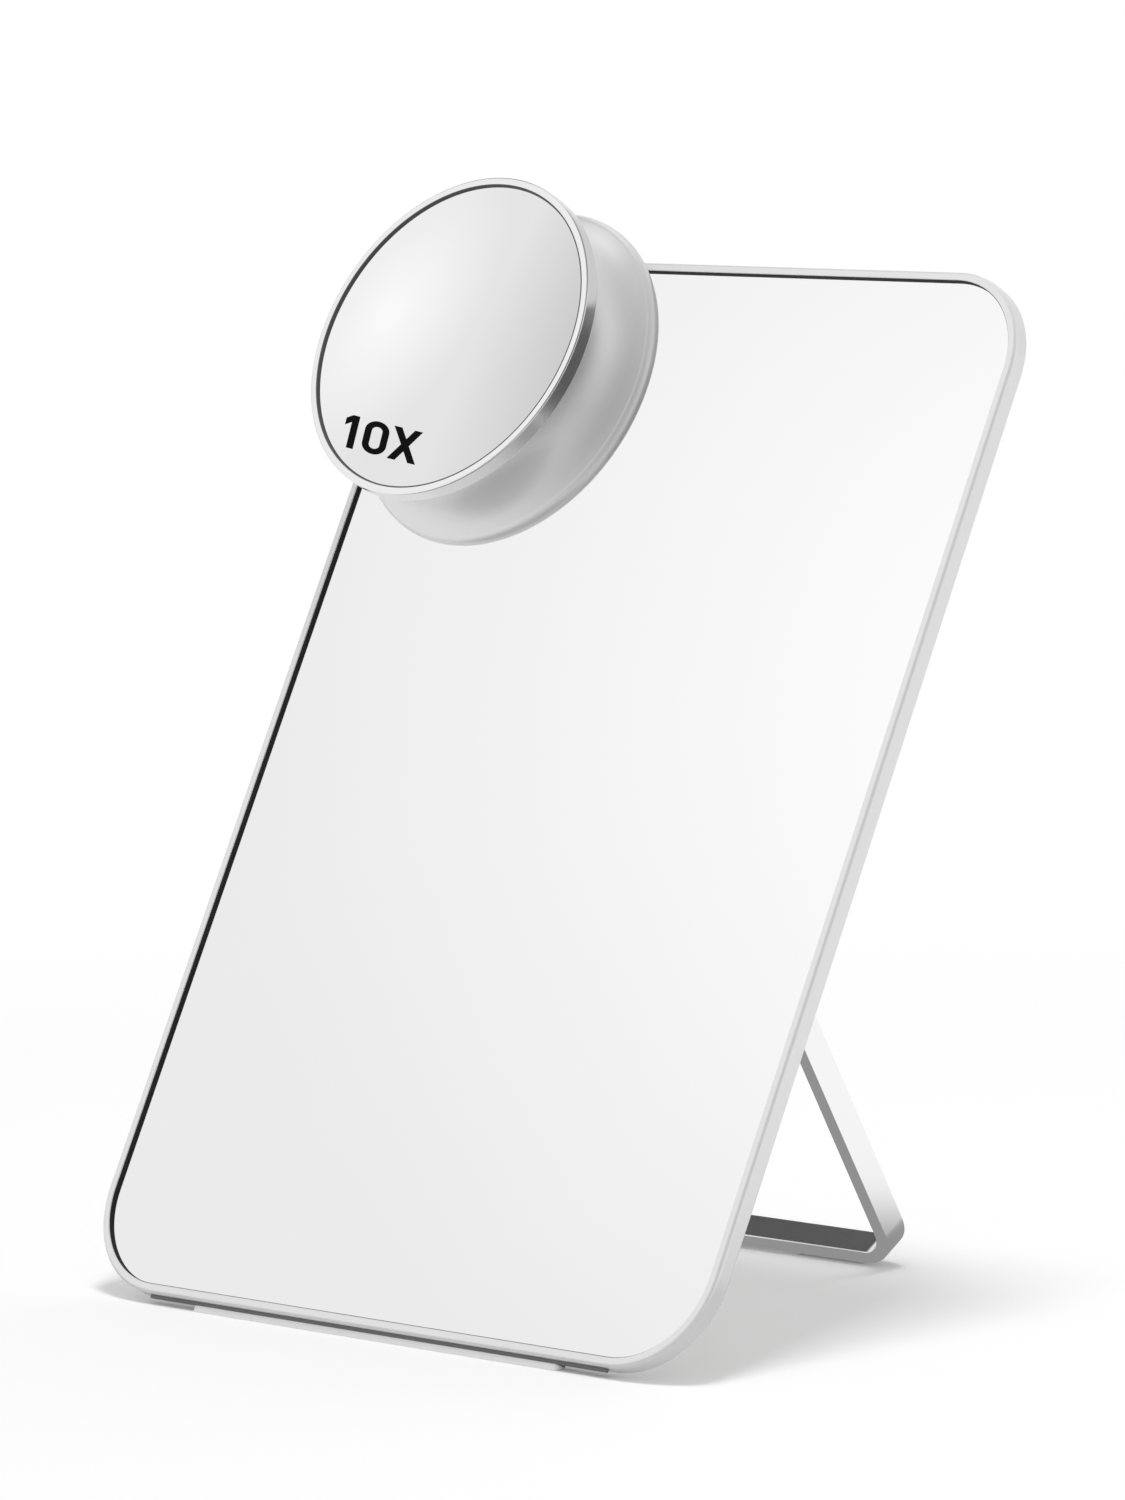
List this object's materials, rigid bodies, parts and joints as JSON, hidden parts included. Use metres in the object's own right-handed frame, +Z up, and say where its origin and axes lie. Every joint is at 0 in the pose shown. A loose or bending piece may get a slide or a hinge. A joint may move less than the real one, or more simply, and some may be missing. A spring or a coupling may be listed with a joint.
{
  "type": "makeup mirror",
  "caption": "Leaning rectangular table mirror in a slim pale frame, with a folding loop stand and a round magnifying mirror on a waisted body held on by magnets.",
  "frame": {"origin": "middle of the flat underside of the foot strip below the frame, on the table top", "axes": "+Z up, +X to the mirror's right as its user faces it, the mirror faces -Y and leans back"},
  "size_m": [0.2009, 0.1479, 0.2692],
  "materials": {
    "satin_white": "satin powder coat",
    "back_white": "fine matt moulding",
    "mirror": "silvered float glass",
    "small_mirror": "silvered bent glass",
    "dark_gasket": "matt extruded",
    "tape": "adhesive film",
    "plain_steel": "rolled",
    "stand_aluminium": "satin anodised",
    "hinge_aluminium": "bead blasted anodised",
    "bezel_aluminium": "turned and anodised",
    "housing_silver": "satin anodised",
    "pin_steel": "turned",
    "bush_nylon": "moulded",
    "soft_grey": "moulded silicone",
    "foam": "cut foam",
    "magnet_nickel": "nickel plated",
    "base_plastic": "moulded"
  },
  "bodies": {
    "panel": {"front_frame": "satin_white", "glass_gasket": "dark_gasket", "mirror_glass": "mirror", "glass_tape": "tape", "steel_backing": "plain_steel", "panel_tape": "tape", "back_panel": "back_white", "hinge_bar": "hinge_aluminium", "hinge_screws": "plain_steel", "pivot_pins": "pin_steel", "friction_washers": "bush_nylon", "spring_washers": "pin_steel", "foot_strip": "soft_grey"},
    "stand": {"stand_loop": "stand_aluminium", "pivot_bushes": "bush_nylon", "stand_feet": "soft_grey"},
    "magnifier": {"magnifier_bezel": "bezel_aluminium", "magnifier_glass": "small_mirror", "glass_cushion": "foam", "magnifier_housing": "housing_silver", "magnet_yoke": "plain_steel", "magnets": "magnet_nickel", "base_plate": "base_plastic", "base_screws": "plain_steel", "contact_pad": "soft_grey"}
  },
  "joints": [
    {"name": "stand_fold", "type": "hinge", "parent": "panel", "child": "stand", "pos_m": [0, 0.07457, 0.12091], "axis": [-1, 0, 0], "range_deg": [0, 59]},
    {"name": "magnifier_pull", "type": "slide", "parent": "panel", "child": "magnifier", "axis": [0, -0.8746, 0.4848], "range_m": [0, 0.06]}
  ]
}
